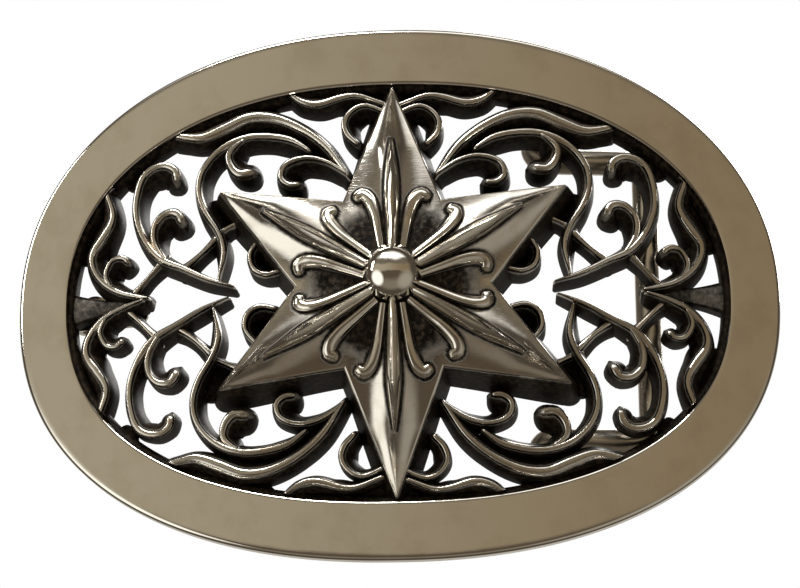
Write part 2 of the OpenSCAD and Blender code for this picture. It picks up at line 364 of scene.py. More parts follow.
# Tone, roughness, tarnish, scratches, dents and, where the metal is oxidised, its dark range
FINISHES = {
    "rim_silver": (1.0, 0.07, 0.25, 0.3, 5.0),
    "oxidised_silver": (0.74, 0.17, 0.7, 1.4, 10.0, (0.35, 1.0)),
    "star_silver": (0.86, 0.13, 0.5, 1.0, 17.0, (0.05, 0.8)),
    "rib_silver": (0.9, 0.11, 0.3, 0.8, 5.0, (0.2, 0.8)),
    "boss_silver": (1.0, 0.05, 0.2, 0.3, 3.0, (0.0, 0.5)),
    "wire_silver": (1.05, 0.28, 0.3, 1.0, 6.0),
    "back_silver": (0.85, 0.24, 0.6, 1.6, 8.0)
}
MATERIALS = {name: silver(name, *finish) for name, finish in FINISHES.items()}


# ---------------- rim and gallery

RING_STEPS = 360
# Outer edge of the rim's section: inset from the outer edge, depth
RIM_OUTER = [
    (0.35, 3.2), (0.1, 3.1), (0.0, 2.8), (0.0, 0.7), (0.03, 0.5), (0.09, 0.34),
    (0.18, 0.2), (0.3, 0.09), (0.44, 0.03), (0.65, 0.0), (1.2, -0.02)
]
# Inner edge of the rim's section: inset from the opening's edge, depth
RIM_INNER = [
    (1.4, -0.02), (0.7, 0.0), (0.34, 0.03), (0.16, 0.1), (0.04, 0.24), (0.0, 0.45),
    (0.0, 2.9), (0.12, 3.12), (0.4, 3.2)
]


def ring_section(angle, section):
    """Points of a ring's section at one angle; each entry is (inner, inset, depth)."""
    outer = Vector(oval(OUTER_W, OUTER_H, OUTER_FULLNESS, angle))
    inner = Vector(oval(OPENING_W, OPENING_H, OPENING_FULLNESS, angle))
    across = (inner - outer).normalized()
    points = []
    for from_inner, inset, depth in section:
        flat = inner - across * inset if from_inner else outer + across * inset
        points.append(place(flat[0], flat[1], depth))
    return points


def ring_angle(i):
    """Even steps around the ring, a little closer where the oval bends most."""
    angle = 2 * math.pi * i / RING_STEPS
    return angle - 0.12 * math.sin(2 * angle)


def build_rim():
    """The wide oval frame."""
    section = [(False, *p) for p in RIM_OUTER] + [(True, *p) for p in RIM_INNER]
    builder = Builder()
    rows = []
    for i in range(RING_STEPS):
        rows.append(builder.row(ring_section(ring_angle(i), section), 1.0))
    builder.loft(rows + rows[:1])
    add_piece("rim", builder, "rim_silver")


# Section of the gallery: inset from the opening's edge, depth, polish
GALLERY_SECTION = [
    (-0.05, 4.9, 0.0), (-0.05, 1.0, 0.0), (0.15, 0.95, 0.1), (0.55, 1.15, 0.25), (0.85, 1.6, 0.3),
    (1.0, 2.2, 0.15), (1.05, 4.4, 0.1), (1.0, 4.85, 0.3), (0.75, 5.0, 0.9), (0.2, 5.0, 0.8)
]


WEB_DEPTH = 3.0
# Section of a web: size of its outline, depth, polish
WEB_SECTION = [
    (0.97, 4.95, 0.9), (1.0, 4.7, 0.1), (1.0, WEB_DEPTH + 0.8, 0.1), (0.94, WEB_DEPTH + 0.2, 0.1),
    (0.82, WEB_DEPTH, 0.1)
]


def web_rows(builder, outline):
    """A low plate with a soft edge, as deep as the openwork's back."""
    smooth = []
    for i in range(len(outline)):
        around = [outline[(i + k) % len(outline)] for k in (-1, 0, 1, 2)]
        smooth.extend(spline_point(around, 1, t / 5) for t in range(5))
    middle_x = sum(p[0] for p in smooth) / len(smooth)
    middle_z = sum(p[1] for p in smooth) / len(smooth)
    rows = []
    for size, depth, polish in WEB_SECTION:
        points = []
        for x, z in smooth:
            spot = inside_opening(mixed(middle_x, x, size), mixed(middle_z, z, size), 0.3)
            points.append(place(*spot, depth))
        rows.append(builder.row(points, polish))
    builder.loft(rows)
    builder.cap(rows[0])
    builder.cap(rows[-1])


def build_gallery():
    """The opening's inner wall, with the webs that stand on it."""
    builder = Builder()
    rows = []
    for i in range(RING_STEPS):
        angle = ring_angle(i)
        points = []
        for inset, depth, _ in GALLERY_SECTION:
            x, z = oval(OPENING_W - 2 * inset, OPENING_H - 2 * inset, OPENING_FULLNESS, angle)
            points.append(place(x, z, depth))
        rows.append(builder.row(points, [p[2] for p in GALLERY_SECTION]))
    builder.loft(rows + rows[:1])
    for quadrant in QUADRANTS:
        for outline in WEBS:
            web_rows(builder, [p[:2] for p in moved([(x, z, 0.0) for x, z in outline], quadrant)])
    add_piece("gallery", builder, "oxidised_silver")


# ---------------- scrolls

# Centre lines of the upper right quadrant, each point (x, z, half width)
CROWN_LEAF = [[
    (6.2, 16.2, 0.8), (9.2, 20.4, 1.4), (12.6, 23.3, 1.5), (16.6, 25.2, 1.7),
    (20.4, 25.5, 1.9), (24.0, 24.3, 2.0), (27.4, 23.3, 1.7), (30.8, 23.7, 1.0)
]]
LONG_SCROLL = [
    [
        (24.6, 2.4, 0.7), (24.1, 6.2, 1.4), (25.0, 9.2, 1.4), (26.5, 11.8, 1.4), (27.5, 14.6, 1.3),
        (27.3, 17.4, 1.3), (25.8, 19.9, 1.3), (23.4, 21.7, 1.4), (20.4, 22.6, 1.4), (17.2, 22.5, 1.4),
        (14.2, 21.7, 1.3), (11.8, 20.2, 0.7)
    ],
    [(21.2, 22.2, 0.7), (22.9, 20.6, 1.3), (22.8, 19.0, 1.6), (21.7, 17.7, 1.9), (20.6, 17.5, 1.9)]
]
NOTCH_CURL = [[
    (6.4, 16.4, 0.8), (9.2, 18.2, 1.0), (12.2, 18.9, 1.1), (14.8, 18.0, 1.3), (15.4, 16.4, 1.5),
    (14.4, 15.4, 1.5), (13.4, 15.2, 1.2)
]]
RAY_CURL = [[
    (1.2, 25.6, 0.8), (3.6, 26.4, 0.9), (5.4, 25.7, 1.0), (6.4, 24.1, 1.2), (6.0, 22.3, 1.3),
    (4.9, 20.9, 1.0)
]]
RIM_LEAF = [[
    (1.2, 26.8, 0.8), (4.8, 28.0, 0.9), (7.4, 27.8, 1.2), (10.2, 27.2, 1.4), (12.6, 27.6, 1.2),
    (14.4, 28.7, 0.7)
]]
HOOK_SCROLL = [
    [
        (22.7, 0.9, 0.5), (26.2, 2.2, 1.1), (30.0, 4.1, 1.3), (33.4, 6.0, 1.5), (35.7, 8.9, 1.4),
        (36.9, 12.4, 1.3), (36.7, 15.8, 1.4), (35.4, 18.4, 1.4), (33.1, 19.2, 1.4), (31.5, 18.5, 1.5),
        (31.1, 17.5, 1.4)
    ],
    [
        (32.6, 5.4, 1.0), (34.0, 8.0, 1.2), (34.0, 10.3, 1.3), (32.8, 11.8, 1.5), (31.2, 12.0, 1.7),
        (30.4, 11.2, 1.7)
    ]
]
END_LEAF = [[
    (41.8, 17.0, 0.9), (40.7, 12.8, 1.3), (42.1, 9.6, 1.7), (43.4, 7.2, 1.4), (43.0, 4.8, 1.2),
    (41.4, 2.8, 1.2), (39.2, 1.4, 1.1), (36.8, 0.6, 0.8), (35.2, 0.2, 0.5)
]]
END_CURL = [[(40.7, 2.6, 0.7), (41.3, 4.2, 1.0), (40.5, 5.9, 1.0), (39.2, 6.3, 1.1), (38.3, 5.8, 1.1)]]
SIDE_CURL = [[(18.4, 7.6, 0.9), (19.8, 5.6, 1.2), (19.5, 3.6, 1.4), (17.9, 2.6, 1.3), (15.8, 2.8, 1.1)]]
SCROLLS = {
    "crown_leaf": CROWN_LEAF, "long_scroll": LONG_SCROLL, "notch_curl": NOTCH_CURL,
    "ray_curl": RAY_CURL, "rim_leaf": RIM_LEAF, "hook_scroll": HOOK_SCROLL,
    "end_leaf": END_LEAF, "end_curl": END_CURL, "side_curl": SIDE_CURL
}
# How much wider the flanks of some scrolls stand at the back
SPREADS = {"crown_leaf": 0.35, "notch_curl": 0.2, "rim_leaf": 0.3, "end_leaf": 0.55, "end_curl": 0.15}
# Each quadrant's name, its side in X and Z, and how far it sits from a true mirror image
QUADRANTS = [
    ("upper_right", 1, 1, 0.0, 0.0),
    ("upper_left", -1, 1, 0.1, 0.2),
    ("lower_right", 1, -1, 0.4, 0.1),
    ("lower_left", -1, -1, 0.9, -0.3)
]
# Centre lines of the tie rods, and how far below the scrolls' crests they lie
TIES = [
    [(25.4, 8.2, 1.5), (27.4, 6.3, 1.1), (29.8, 4.4, 1.5)],
    [(33.2, 5.6, 1.5), (35.2, 3.5, 1.0), (37.4, 1.2, 1.4)],
    [(21.4, 10.6, 1.4), (23.4, 9.8, 1.0), (25.0, 8.9, 1.4)]
]
TIE_DEPTH = 1.5
# Outlines of the low webs that close the gaps beside the star's tips and along the gallery
WEBS = [
    [(0.0, 22.0), (1.6, 24.0), (2.2, 26.2), (2.6, 28.6), (1.8, 30.2), (0.0, 30.4)],
    [
        (0.6, 27.4), (5.0, 28.0), (9.0, 27.4), (12.4, 27.8), (14.6, 28.6), (15.4, 29.6), (8.0, 30.2),
        (0.6, 30.4)
    ],
    [
        (16.2, 29.0), (17.4, 26.6), (20.0, 26.0), (24.0, 24.6), (28.0, 23.6), (31.0, 23.4),
        (33.4, 24.4), (26.0, 28.6)
    ],
    [
        (18.6, 9.4), (21.4, 9.6), (24.6, 8.8), (25.6, 11.4), (26.6, 14.2), (25.2, 14.8), (23.4, 14.2),
        (20.0, 12.0)
    ],
    [
        (41.4, 17.0), (40.6, 13.0), (41.8, 9.8), (43.2, 7.4), (45.0, 6.8), (46.6, 8.0), (46.2, 11.0),
        (44.4, 15.0)
    ],
    [(36.2, 19.0), (37.6, 17.2), (39.2, 17.8), (40.2, 19.4), (38.4, 21.2), (36.6, 21.4)]
]


def moved(line, quadrant):
    """A line of the upper right quadrant, mirrored into another one."""
    _, side_x, side_z, shift_x, shift_z = quadrant
    return [(side_x * (x + shift_x), side_z * (z + shift_z), w) for x, z, w in line]


def spline_value(p, q, r, s, t):
    """Catmull-Rom curve from q at t = 0 to r at t = 1, between the neighbours p and s."""
    square = (2 * p - 5 * q + 4 * r - s) * t * t
    cube = (3 * q - p - 3 * r + s) * t ** 3
    return 0.5 * (2 * q + (r - p) * t + square + cube)


def spline_point(points, i, t):
    """The point a share t of the way from point i to the next on a smooth line."""
    near = [points[max(0, min(len(points) - 1, i + k))] for k in (-1, 0, 1, 2)]
    return tuple(spline_value(*values, t) for values in zip(*near))


def even_line(points, step):
    """The smooth line through the points, in steps of about that length."""
    dense = []
    for i in range(len(points) - 1):
        dense.extend(spline_point(points, i, k / 24) for k in range(24))
    dense.append(points[-1])
    lengths = [0.0]
    for a, b in zip(dense, dense[1:]):
        lengths.append(lengths[-1] + math.hypot(b[0] - a[0], b[1] - a[1]))
    count = max(4, round(lengths[-1] / step))
    result = []
    j = 0
    for i in range(count + 1):
        target = lengths[-1] * i / count
        while j < len(lengths) - 2 and lengths[j + 1] < target:
            j += 1
        span = lengths[j + 1] - lengths[j]
        t = (target - lengths[j]) / span if span > 0 else 0.0
        result.append(tuple(mixed(p, q, min(1.0, t)) for p, q in zip(dense[j], dense[j + 1])))
    return result


def directions(line):
    """The line's direction at each of its points."""
    result = []
    for i in range(len(line)):
        a = line[max(0, i - 1)]
        b = line[min(len(line) - 1, i + 1)]
        result.append(Vector((b[0] - a[0], b[1] - a[1])).normalized())
    return result


def turning(along):
    """Smoothed turn to the left at each step, in radians per step."""
    raw = []
    for i in range(len(along)):
        a = along[max(0, i - 1)]
        b = along[min(len(along) - 1, i + 1)]
        raw.append((a[0] * b[1] - a[1] * b[0]) / 2)
    smooth = []
    for i in range(len(raw)):
        near = raw[max(0, i - 6):i + 7]
        smooth.append(sum(near) / len(near))
    return smooth


# Half of a scroll's section: across; share of the crest's height; depth; polish.
# Between -CREST_END and CREST_END is the crest, and the rest is the flanks and the back.
CREST_END = 0.5
HALF_SECTION = [
    (1.00, 0.0, 4.9, 0.0), (0.99, 0.0, 4.0, 0.0), (0.93, 0.0, 2.9, 0.0), (0.84, 0.0, 1.9, 0.0),
    (0.74, 0.0, 1.1, 0.0), (0.62, 0.2, 0.6, 0.15), (0.52, 0.5, 0.3, 0.6), (0.42, 0.75, 0.12, 0.95),
    (0.28, 0.92, 0.0, 1.0), (0.1, 1.0, 0.0, 1.0)
]
SCROLL_SECTION = [(-across, *rest) for across, *rest in HALF_SECTION] + HALF_SECTION[::-1]
SCROLL_SECTION += [(0.80, 0.0, 5.0, 0.95), (-0.80, 0.0, 5.0, 0.95)]
# Length of a step along a scroll
SCROLL_STEP = 0.32
# Half width of the crest as a share of the scroll's own, along a stem and at a curl's end
STEM_CREST = 0.37
CURL_CREST = 0.42
# How far the inner flank spreads into the tightest bend
FLARE = 1.0
# A scroll at least this wide at its last point ends in a curl, which swells between these
# distances from its end
CURL_W = 0.95
SWELL_START = 3.4
SWELL_FULL = 1.2
# How much a bend counts towards the tightest one, and how far a rounded end drops
BEND_GAIN = 9.0
END_DROP = 1.3
CURL_DROP = 1.2
# The openwork keeps this far inside the opening's edge
OPENWORK_INSET = 0.35


def crest_height(x, z):
    """Height of the scrolls' crests: level with the rim beside it, prouder towards the star."""
    return mixed(1.7, 0.35, smoothstep(0.45, 1.0, opening_share(x, z)))


def across_scroll(across, lean, width, bulb, spread):
    """Distance from the centre line of a point of the section.

    The crest keeps to the outside of a bend, and the inner flank spreads into the bend.
    lean is 1 in a tight turn to the left and -1 in one to the right. bulb is 1 in the swollen end
    of a curl. spread is how much wider both flanks stand at the back.
    """
    crest = -0.24 * lean * width * (1 - 0.6 * bulb)
    share = mixed(STEM_CREST, CURL_CREST, bulb)
    side = math.copysign(1.0, across)
    inwards = side * lean
    reach = width * (0.82 - 0.14 * abs(lean) + 0.2 * bulb) + spread
    if inwards > 0:
        reach += FLARE * inwards * (1 - 0.5 * bulb)
    edge = crest + side * share * width
    if abs(across) <= CREST_END:
        return crest + across / CREST_END * share * width
    return mixed(edge, side * reach, (abs(across) - CREST_END) / (1 - CREST_END))


def rounded_end(point, out, direction, bend):
    """Stations that round off a scroll's end, from its last point outwards."""
    x, z, w = point
    stations = []
    for k in range(1, 6):
        a = math.radians(86 * k / 5)
        reach = w * math.sin(a)
        spot = (x + out[0] * reach, z + out[1] * reach, w * math.cos(a))
        stations.append((spot, direction, bend * math.cos(a), math.sin(a)))
    return stations


def scroll_rows(builder, points, sunk=0.0, spread=0.0):
    """One member of the openwork, its crest sunk that far below the other crests."""
    line = even_line(points, SCROLL_STEP)
    along = directions(line)
    turn = turning(along)
    # Each station: point and half width, direction, bend, and share of a rounded end's drop
    start = rounded_end(line[0], -along[0], along[0], turn[0])
    body = [(p, d, t, 0.0) for p, d, t in zip(line, along, turn)]
    every = start[::-1] + body + rounded_end(line[-1], along[-1], along[-1], turn[-1])
    curled = line[-1][2] >= CURL_W
    rows = []
    for number, ((x, z, w), direction, bend, drop) in enumerate(every):
        to_end = (len(every) - 1 - number) * SCROLL_STEP
        bulb = smoothstep(SWELL_START, SWELL_FULL, to_end) if curled else 0.0
        lean = max(-1.0, min(1.0, bend * BEND_GAIN)) * math.sqrt(1 - drop * drop)
        height = crest_height(x, z)
        lowered = sunk + drop * drop * (END_DROP + CURL_DROP * bulb)
        points = []
        for across, share, depth, _ in SCROLL_SECTION:
            out = across_scroll(across, lean, w, bulb, spread)
            spot = inside_opening(x - direction[1] * out, z + direction[0] * out, OPENWORK_INSET)
            points.append(place(*spot, depth - share * height + lowered * (1 - depth / WORK_BACK)))
        rows.append(builder.row(points, [p[3] * (1 - 0.7 * bulb * drop) for p in SCROLL_SECTION]))
    builder.loft_and_cap(rows)


def build_scroll(name, lines, quadrant):
    """One scroll of one quadrant, with its branch if it has one."""
    builder = Builder()
    for line in lines:
        scroll_rows(builder, moved(line, quadrant), spread=SPREADS.get(name, 0.0))
    add_piece(name + "_" + quadrant[0], builder, "oxidised_silver", sharp=50.0)


def build_ties():
    """The short rods that bridge neighbouring scrolls."""
    builder = Builder()
    for quadrant in QUADRANTS:
        for tie in TIES:
            scroll_rows(builder, moved(tie, quadrant), TIE_DEPTH)
    add_piece("tie_rods", builder, "oxidised_silver")


# An end fan's inner end and length, half width there, and how much wider it gets
FAN_START = 37.0
FAN_L = 9.7
FAN_NARROW = 0.7
FAN_SPREAD = 1.7
FAN_TOP = [(across, 1.5 + 0.5 * across ** 2, 0.5) for across in (-0.75, -0.4, 0.0, 0.4, 0.75)]
# Section of an end fan: across, depth, polish
FAN_SECTION = [
    (-1.0, 4.9, 0.0), (-1.0, 2.0, 0.0), *FAN_TOP, (1.0, 2.0, 0.0), (1.0, 4.9, 0.0), (0.8, 5.0, 0.0),
    (-0.8, 5.0, 0.0)
]


def build_end_fan(name, side):
    """Fan-shaped strut between the last scrolls and the gallery, slightly arched across."""
    builder = Builder()
    rows = []
    for k in range(13):
        x = FAN_START + FAN_L * k / 12
        half = FAN_NARROW + FAN_SPREAD * (k / 12) ** 2
        points = [place(side * x, across * half, depth) for across, depth, _ in FAN_SECTION]
        rows.append(builder.row(points, [p[2] for p in FAN_SECTION]))
    builder.loft_and_cap(rows)
    add_piece(name, builder, "oxidised_silver")


# ---------------- star, ribs and boss

# Distance of the tips and of the corners between rays from the middle
SLANT_REACH = 27.9
UPRIGHT_REACH = 29.2
NOTCH_R = 13.5
# Heights above the rim's front: the side edges, the ridges at RIDGE_END, and the middle
EDGE_H = 4.1
RIDGE_H = 7.0
PEAK_H = 6.9
RIDGE_END = 20.0
# The upright rays are lower, to pass under the rim
UPRIGHT_SHARE = 0.72
UPRIGHT_TIP_H = 0.2
FACE_HOLLOW = 0.6
STAR_WALL = 1.5
# Ribs in ray coordinates: along, across, half width
CENTRE_RIB = [(3.2, 0.0, 0.6), (7.0, 0.0, 0.85), (11.0, 0.0, 1.05), (15.0, 0.0, 1.0), (20.6, 0.0, 0.25)]
SIDE_RIB = [
    (3.4, 1.35, 0.5), (6.8, 1.9, 0.65), (9.8, 2.45, 0.8), (11.8, 3.2, 0.9), (12.6, 4.1, 0.95),
    (12.3, 4.7, 0.8)
]
RIB_LINES = [even_line(CENTRE_RIB, 0.6), even_line(SIDE_RIB, 0.6)]
RIB_H = 1.25
RIB_SIDES = 13
HALF_RAY = math.radians(30)
NOTCH_U = NOTCH_R * math.cos(HALF_RAY)
NOTCH_V = NOTCH_R * math.sin(HALF_RAY)


def ray_place(k, u, v):
    """The point at u along ray k and v across it, as (x, z)."""
    a = math.radians(30 + 60 * k)
    return u * math.cos(a) - v * math.sin(a), u * math.sin(a) + v * math.cos(a)


def is_upright(k):
    """Whether ray k is the top or the bottom one."""
    return k % 3 == 1


def star_height(k, u, v):
    """Height of ray k's face at u along it and v across."""
    upright = is_upright(k)
    reach = UPRIGHT_REACH if upright else SLANT_REACH
    shoulder = RIDGE_H * (UPRIGHT_SHARE if upright else 1.0)
    tip = UPRIGHT_TIP_H if upright else EDGE_H
    if u < RIDGE_END:
        ridge = mixed(PEAK_H, shoulder, u / RIDGE_END)
    else:
        ridge = mixed(shoulder, tip, (u - RIDGE_END) / (reach - RIDGE_END))
    if u < NOTCH_U:
        widest = u * math.tan(HALF_RAY)
        side = mixed(PEAK_H, EDGE_H, u / NOTCH_U)
    else:
        share = min(1.0, (u - NOTCH_U) / (reach - NOTCH_U))
        widest = NOTCH_V * (1 - share)
        side = mixed(EDGE_H, tip, share)
    t = min(1.0, abs(v) / widest) if widest > 0.01 else 0.0
    hollow = FACE_HOLLOW * smoothstep(2.0, 9.0, u) * (1 - smoothstep(RIDGE_END, reach, u))
    return mixed(ridge, side, t) - hollow * math.sin(math.pi * t)


def star_outline(grow):
    """Points around the star as (ray, u, v), each edge moved out by grow and each tip rounded."""
    points = []
    for k in range(6):
        reach = UPRIGHT_REACH if is_upright(k) else SLANT_REACH
        edge = Vector((reach - NOTCH_U, -NOTCH_V)).normalized()
        slope = math.atan2(edge[0], -edge[1])
        # In a corner between rays, both offset edges meet on the line halfway between them
        meet = grow / math.cos(slope - HALF_RAY)
        notch = (NOTCH_U + meet * math.cos(HALF_RAY), NOTCH_V + meet * math.sin(HALF_RAY))
        end = Vector((reach, 0.0)) + Vector((math.cos(slope), math.sin(slope))) * grow
        half = []
        for i in range(EDGE_STEPS):
            share = i / EDGE_STEPS
            half.append((mixed(notch[0], end[0], share), mixed(notch[1], end[1], share)))
        for i in range(TIP_STEPS):
            a = slope * (1 - i / TIP_STEPS)
            half.append((reach + grow * math.cos(a), grow * math.sin(a)))
        points.extend((k, u, -v) for u, v in half)
        points.append((k, reach + grow, 0.0))
        points.extend((k, u, v) for u, v in reversed(half[1:]))
    return points


def spread_outline(grow):
    """The outline moved out by grow beside the notches and by half as much again at the tips."""
    points = []
    for near, wide in zip(star_outline(grow), star_outline(1.5 * grow)):
        t = smoothstep(NOTCH_U, SLANT_REACH, near[1])
        points.append((near[0], mixed(near[1], wide[1], t), mixed(near[2], wide[2], t)))
    return points


def star_ring(scale, outline, drop=0.0):
    """The outline scaled about the middle, that far below the face."""
    spots = [(k, u * scale, v * scale) for k, u, v in outline]
    return [place(*ray_place(*spot), drop - star_height(*spot)) for spot in spots]


def flat_ring(scale, outline, depth):
    """The outline scaled about the middle, at one depth."""
    return [place(*ray_place(k, u * scale, v * scale), depth) for k, u, v in outline]


def face_polish(scale, spot):
    """Polish of the star's face: darker in the creases between two rays beside the boss, and dark along
    the ribs.
    """
    _, u, v = spot
    distance = math.hypot(u, v) * scale
    valley = 1 - abs(abs(math.degrees(math.atan2(v, u))) - 30) / 30
    # Darker in the creases between two rays, fading out between 9 and 15.5 mm from the middle
    crease_dark = 0.92 * smoothstep(0.2, 0.75, valley) * (1 - smoothstep(9.0, 15.5, distance))
    groove = 1 - smoothstep(0.1, 0.9, rib_gap(u * scale, abs(v * scale)))
    return 1.0 - max(crease_dark, groove)


# The star's rounded edge: how far out, how far below the face, polish
STAR_EDGE = [(0.0, 0.06, 1.0), (0.12, 0.2, 1.0), (0.2, 0.5, 0.3), (0.3, 1.2, 0.0)]
# The side wall under it: share of the way to the back, how far out
STAR_SIDE = [(0.2, 0.5), (0.4, 0.7), (0.6, 0.9), (0.8, 1.1), (0.97, 1.27), (1.0, 1.15)]
STAR_RINGS = 56
BACK_RINGS = 11
EDGE_STEPS = 32
TIP_STEPS = 5
# The star's side wall keeps this far inside the opening's edge
STAR_INSET = 0.5


def rib_gap(u, v):
    """Distance from a point of a ray to the nearest edge of its ribs."""
    if u > 21 or u < 1:
        return 5.0
    return min(math.hypot(u - p[0], v - p[1]) - p[2] for line in RIB_LINES for p in line)


def build_star():
    """The star: its ridged face, its side wall and its hollow back."""
    builder = Builder()
    # The face's outline is a hair outside the true one, so that the points of its tips stay apart
    outline = star_outline(0.04)
    rows = []
    for i in range(1, STAR_RINGS + 1):
        scale = (i / STAR_RINGS) * 0.988
        rows.append(builder.row(star_ring(scale, outline), [face_polish(scale, p) for p in outline]))
    edge_levels = [-star_height(*spot) for spot in outline]
    for grow, drop, polish in STAR_EDGE:
        near = zip(star_outline(grow), edge_levels)
        rows.append(builder.row([place(*ray_place(*spot), level + drop) for spot, level in near], polish))
    for share, grow in STAR_SIDE:
        points = []
        for spot, level in zip(spread_outline(grow), edge_levels):
            x, z = inside_opening(*ray_place(*spot), STAR_INSET)
            points.append(place(x, z, mixed(level + 1.2, WORK_BACK, min(1.0, share * 1.03))))
        rows.append(builder.row(points, 0.0))
    rows.append(builder.row(flat_ring(1.0, star_outline(0.3), WORK_BACK), 0.9))
    inner = star_outline(0.0)
    rows.append(builder.row(flat_ring(0.94, inner, WORK_BACK - 0.3), 0.5))
    rows.append(builder.row(star_ring(0.90, inner, STAR_WALL + 0.6), 0.3))
    for i in range(BACK_RINGS, 0, -1):
        rows.append(builder.row(star_ring(0.88 * i / BACK_RINGS, inner, STAR_WALL), 0.5))
    builder.loft(rows)
    builder.fan(place(0, 0, -PEAK_H), rows[0], 0.2)
    builder.fan(place(0, 0, STAR_WALL - PEAK_H), rows[-1], 0.2, flip=True)
    add_piece("star_shell", builder, "star_silver", sharp=18.0)


def rib_rows(builder, k, points, flip):
    """One rib on the face of ray k, with a domed end; flip puts it on the ray's other side."""
    line = even_line(points, 0.3)
    along = directions(line)
    side = -1 if flip else 1
    rows = []
    # Each station: point and half width, direction, share of the full height
    every = [(p, d, 1.0) for p, d in zip(line, along)]
    (u, v, w), direction = line[-1], along[-1]
    for i in range(1, 5):
        a = math.radians(88 * i / 4)
        cap = (u + direction[0] * w * math.sin(a), v + direction[1] * w * math.sin(a), w * math.cos(a))
        every.append((cap, direction, math.cos(a)))
    for (u, v, w), direction, lift in every:
        points = []
        polish = []
        for i in range(RIB_SIDES):
            a = math.pi * i / (RIB_SIDES - 1)
            across = math.cos(a) * w
            spot = (k, u - direction[1] * across, side * (v + direction[0] * across))
            rise = RIB_H * min(1.0, w / 0.75) * lift * math.sin(a) ** 0.8
            # The outermost sides go into the star's face, and the next ones are half dark
            from_edge = min(i, RIB_SIDES - 1 - i)
            buried = 0.25 if from_edge == 0 else 0.0
            points.append(place(*ray_place(*spot), -star_height(*spot) - rise + buried))
            polish.append((0.0, 0.45, 1.0)[min(2, from_edge)])
        under = (k, u, side * v)
        points.append(place(*ray_place(*under), 0.5 - star_height(*under)))
        polish.append(0.0)
        rows.append(builder.row(points, polish))
    if flip:
        rows.reverse()
    builder.loft_and_cap(rows)


def build_ribs():
    """Three ribs on each ray."""
    builder = Builder()
    for k in range(6):
        rib_rows(builder, k, CENTRE_RIB, False)
        rib_rows(builder, k, SIDE_RIB, False)
        rib_rows(builder, k, SIDE_RIB, True)
    add_piece("ray_ribs", builder, "rib_silver")


BOSS_R = 4.05
# The ball stands this far above its box in the CAD, and this far up from the star's middle
BOSS_RAISED = 0.9
BOSS_UP = 0.8
BOSS_TOP = FRONT_Y - boss_low[1] + BOSS_RAISED
BEADS = 18
# Collar: radius, height above the ball's middle, size of the beads, share of BOSS_UP, polish
COLLAR = [
    (4.0, -0.75, 0.0, 0.9, 0.2), (3.9, -1.0, 0.1, 0.8, 0.0), (4.0, -0.9, 0.45, 0.7, 0.9),
    (4.15, -1.0, 0.6, 0.65, 1.0), (4.2, -1.3, 0.65, 0.6, 1.0), (4.15, -1.7, 0.6, 0.5, 0.6),
    (4.1, -2.2, 0.3, 0.4, 0.0), (4.0, -3.4, 0.0, 0.2, 0.0)
]


def build_boss():
    """Polished ball above a collar of beads, one bead at the root of each rib."""
    builder = Builder()
    profile = []
    for i in range(1, 20):
        a = math.radians(4.8 * i)
        profile.append((BOSS_R * math.sin(a), BOSS_R * math.cos(a), 0.0, 1.0, 1.0))
    rows = []
    for radius, height, bead, share, polish in profile + COLLAR:
        # The collar's foot stays inside the star's wall
        level = max(BOSS_TOP - BOSS_R + height, PEAK_H - 1.0)
        points = []
        for a in round_angles(8 * BEADS):
            r = radius + bead * (0.5 + 0.5 * math.cos(BEADS * (a - HALF_RAY)))
            points.append(place(r * math.cos(a), BOSS_UP * share + r * math.sin(a), -level))
        rows.append(builder.row(points, polish))
    builder.loft(rows)
    builder.fan(place(0, BOSS_UP, -BOSS_TOP), rows[0], 1.0)
    builder.cap(rows[-1])
    add_piece("boss", builder, "boss_silver")


# ---------------- belt loop, lugs and hook

WIRE_R = 1.8
SPIGOT_R = 1.2
LOOP_REACH = 16.3
LOOP_TILT = math.radians(10.6)
ARM_Z = 20.4
CORNER_R = 3.0
ELBOW_R = 2.0
SPIGOT_GAP = 0.05
LUG_STEPS = 48
LUG_R = (lug_high[0] - lug_low[0]) / 2
LUG_Z = lug_low[2]
LUG_H = lug_high[2] - lug_low[2]
HINGE_X = (lug_low[0] + lug_high[0]) / 2
HINGE_Y = lug_high[1] - FRONT_Y - LUG_R


def folded(a, b, z):
    """A point of the folded loop: a out from the hinge axis, b across, z up."""
    x = HINGE_X + a * math.cos(LOOP_TILT) - b * math.sin(LOOP_TILT)
    y = HINGE_Y + a * math.sin(LOOP_TILT) + b * math.cos(LOOP_TILT)
    return straight(x, y, z)


def loop_path():
    """Centre line from one spigot's end almost to the fold bar's middle, as (a, z, radius)."""
    top = LUG_Z + LUG_H + 0.3
    elbow = ARM_Z + ELBOW_R
    path = [
        (0.0, top, 0.6), (0.0, top - 0.08, 1.0), (0.0, top - 0.3, SPIGOT_R), (0.0, LUG_Z - 0.2, SPIGOT_R),
        (0.0, elbow + 0.02, SPIGOT_R), (0.0, elbow, 1.45), (0.0, elbow - 0.1, 1.7)
    ]
    for i in range(1, 13):
        a = math.radians(90 * i / 12)
        path.append((ELBOW_R - ELBOW_R * math.cos(a), elbow - ELBOW_R * math.sin(a), WIRE_R))
    corner_a = LOOP_REACH - CORNER_R
    corner_z = ARM_Z - CORNER_R
    for i in range(1, 8):
        path.append((mixed(ELBOW_R, corner_a, i / 8), ARM_Z, WIRE_R))
    for i in range(13):
        a = math.radians(90 * i / 12)
        path.append((corner_a + CORNER_R * math.sin(a), corner_z + CORNER_R * math.cos(a), WIRE_R))
    for i in range(1, 9):
        path.append((LOOP_REACH, corner_z * (1 - i / 9), WIRE_R))
    return path


